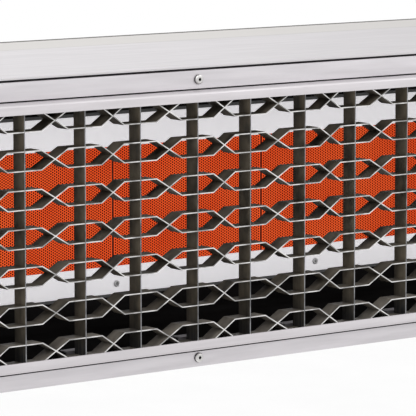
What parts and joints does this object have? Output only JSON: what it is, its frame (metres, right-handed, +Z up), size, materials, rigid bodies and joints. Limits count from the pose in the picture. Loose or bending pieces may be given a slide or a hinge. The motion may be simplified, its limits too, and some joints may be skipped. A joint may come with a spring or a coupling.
{
  "type": "overhead infrared heater",
  "caption": "Long stainless gas infrared heater: perforated ceramic plaques glow behind a wavy egg-crate grille, in a box housing that tilts between two ceiling brackets.",
  "frame": {"origin": "middle of the four ceiling bolt slots, on the upper face of the bracket flanges", "axes": "+X along the heater to the gas inlet end, +Y to the rear, +Z up to the ceiling"},
  "size_m": [1.3218, 0.2172, 0.2938],
  "materials": {
    "stainless_skin": "brushed stainless, grain along the length",
    "polished_stainless": "bright polished stainless",
    "heat_tinted_steel": "stainless browned by heat, bright sheared edges",
    "dark_wing_steel": "stainless darkened by heat",
    "glowing_ceramic": "porous ceramic glowing orange",
    "ceramic_fibre": "ceramic fibre",
    "aluminised_steel": "aluminised steel",
    "brass": "machined brass",
    "aluminium_tube": "drawn aluminium",
    "cast_aluminium": "die-cast aluminium",
    "red_plastic": "moulded plastic",
    "black_pipe": "black lacquered steel",
    "glazed_porcelain": "glazed porcelain",
    "electrode_wire": "heat-resisting wire",
    "zinc_plated": "bright zinc plate",
    "module_plastic": "moulded plastic",
    "coil_copper": "enamelled copper under tape",
    "terminal_plastic": "moulded plastic",
    "lead_red": "silicone rubber sleeve",
    "lead_black": "insulated wire",
    "grommet_rubber": "rubber",
    "bracket_steel": "brushed stainless",
    "knob_plastic": "moulded plastic"
  },
  "bodies": {
    "brackets": {"bracket_left": "bracket_steel", "bracket_right": "bracket_steel"},
    "heater": {"top_cover": "stainless_skin", "rear_panel": "stainless_skin", "bottom_panel": "stainless_skin", "end_cap_left": "stainless_skin", "end_cap_right": "stainless_skin", "front_fascia": "stainless_skin", "grille_bezel": "stainless_skin", "grille_vertical_blades": "heat_tinted_steel", "grille_rising_waves": "heat_tinted_steel", "grille_falling_waves": "heat_tinted_steel", "grille_clips": "polished_stainless", "reflector_plate": "polished_stainless", "upper_wing": "dark_wing_steel", "lower_wing": "dark_wing_steel", "reflector_ends": "dark_wing_steel", "ceramic_plaque_1": "glowing_ceramic", "ceramic_plaque_2": "glowing_ceramic", "ceramic_plaque_3": "glowing_ceramic", "ceramic_plaque_4": "glowing_ceramic", "ceramic_plaque_5": "glowing_ceramic", "ceramic_plaque_6": "glowing_ceramic", "ceramic_plaque_7": "glowing_ceramic", "ceramic_plaque_8": "glowing_ceramic", "plaque_gasket": "ceramic_fibre", "insulation_blanket": "ceramic_fibre", "burner_plenum": "aluminised_steel", "burner_supports": "aluminised_steel", "mixing_tube": "aluminised_steel", "gas_orifice": "brass", "gas_manifold": "aluminium_tube", "gas_valve": "cast_aluminium", "gas_inlet_nipple": "black_pipe", "electrode_insulator": "glazed_porcelain", "ignition_electrode": "electrode_wire", "electrode_bracket": "zinc_plated", "ignition_module": "module_plastic", "transformer_core": "black_pipe", "transformer_coil": "coil_copper", "terminal_block": "terminal_plastic", "ignition_lead": "lead_red", "valve_lead": "lead_black", "supply_lead": "lead_black", "power_grommet": "grommet_rubber", "pivot_bolts": "zinc_plated", "pivot_nuts": "zinc_plated", "pivot_washers": "zinc_plated", "weld_nuts": "zinc_plated", "fascia_screws": "zinc_plated", "plate_screws": "zinc_plated", "housing_screws": "zinc_plated"},
    "left_knob": {"tilt_knob_left": "knob_plastic"},
    "right_knob": {"tilt_knob_right": "knob_plastic"},
    "gas_knob": {"valve_knob": "red_plastic"}
  },
  "joints": [
    {"name": "heater_tilt", "type": "hinge", "parent": "brackets", "child": "heater", "pos_m": [0, 0, -0.1905], "axis": [1, 0, 0], "range_deg": [0, 60]},
    {"name": "left_knob_turn", "type": "hinge", "parent": "heater", "child": "left_knob", "pos_m": [-0.62, 0.03, -0.13854], "axis": [-1, 0, 0], "range_deg": [0, 180]},
    {"name": "right_knob_turn", "type": "hinge", "parent": "heater", "child": "right_knob", "pos_m": [0.62, 0.03, -0.13854], "axis": [1, 0, 0], "range_deg": [0, 180]},
    {"name": "gas_knob_turn", "type": "hinge", "parent": "heater", "child": "gas_knob", "pos_m": [0.44, 0.0704, -0.2115], "axis": [0, 0, 1], "range_deg": [0, 90]}
  ]
}
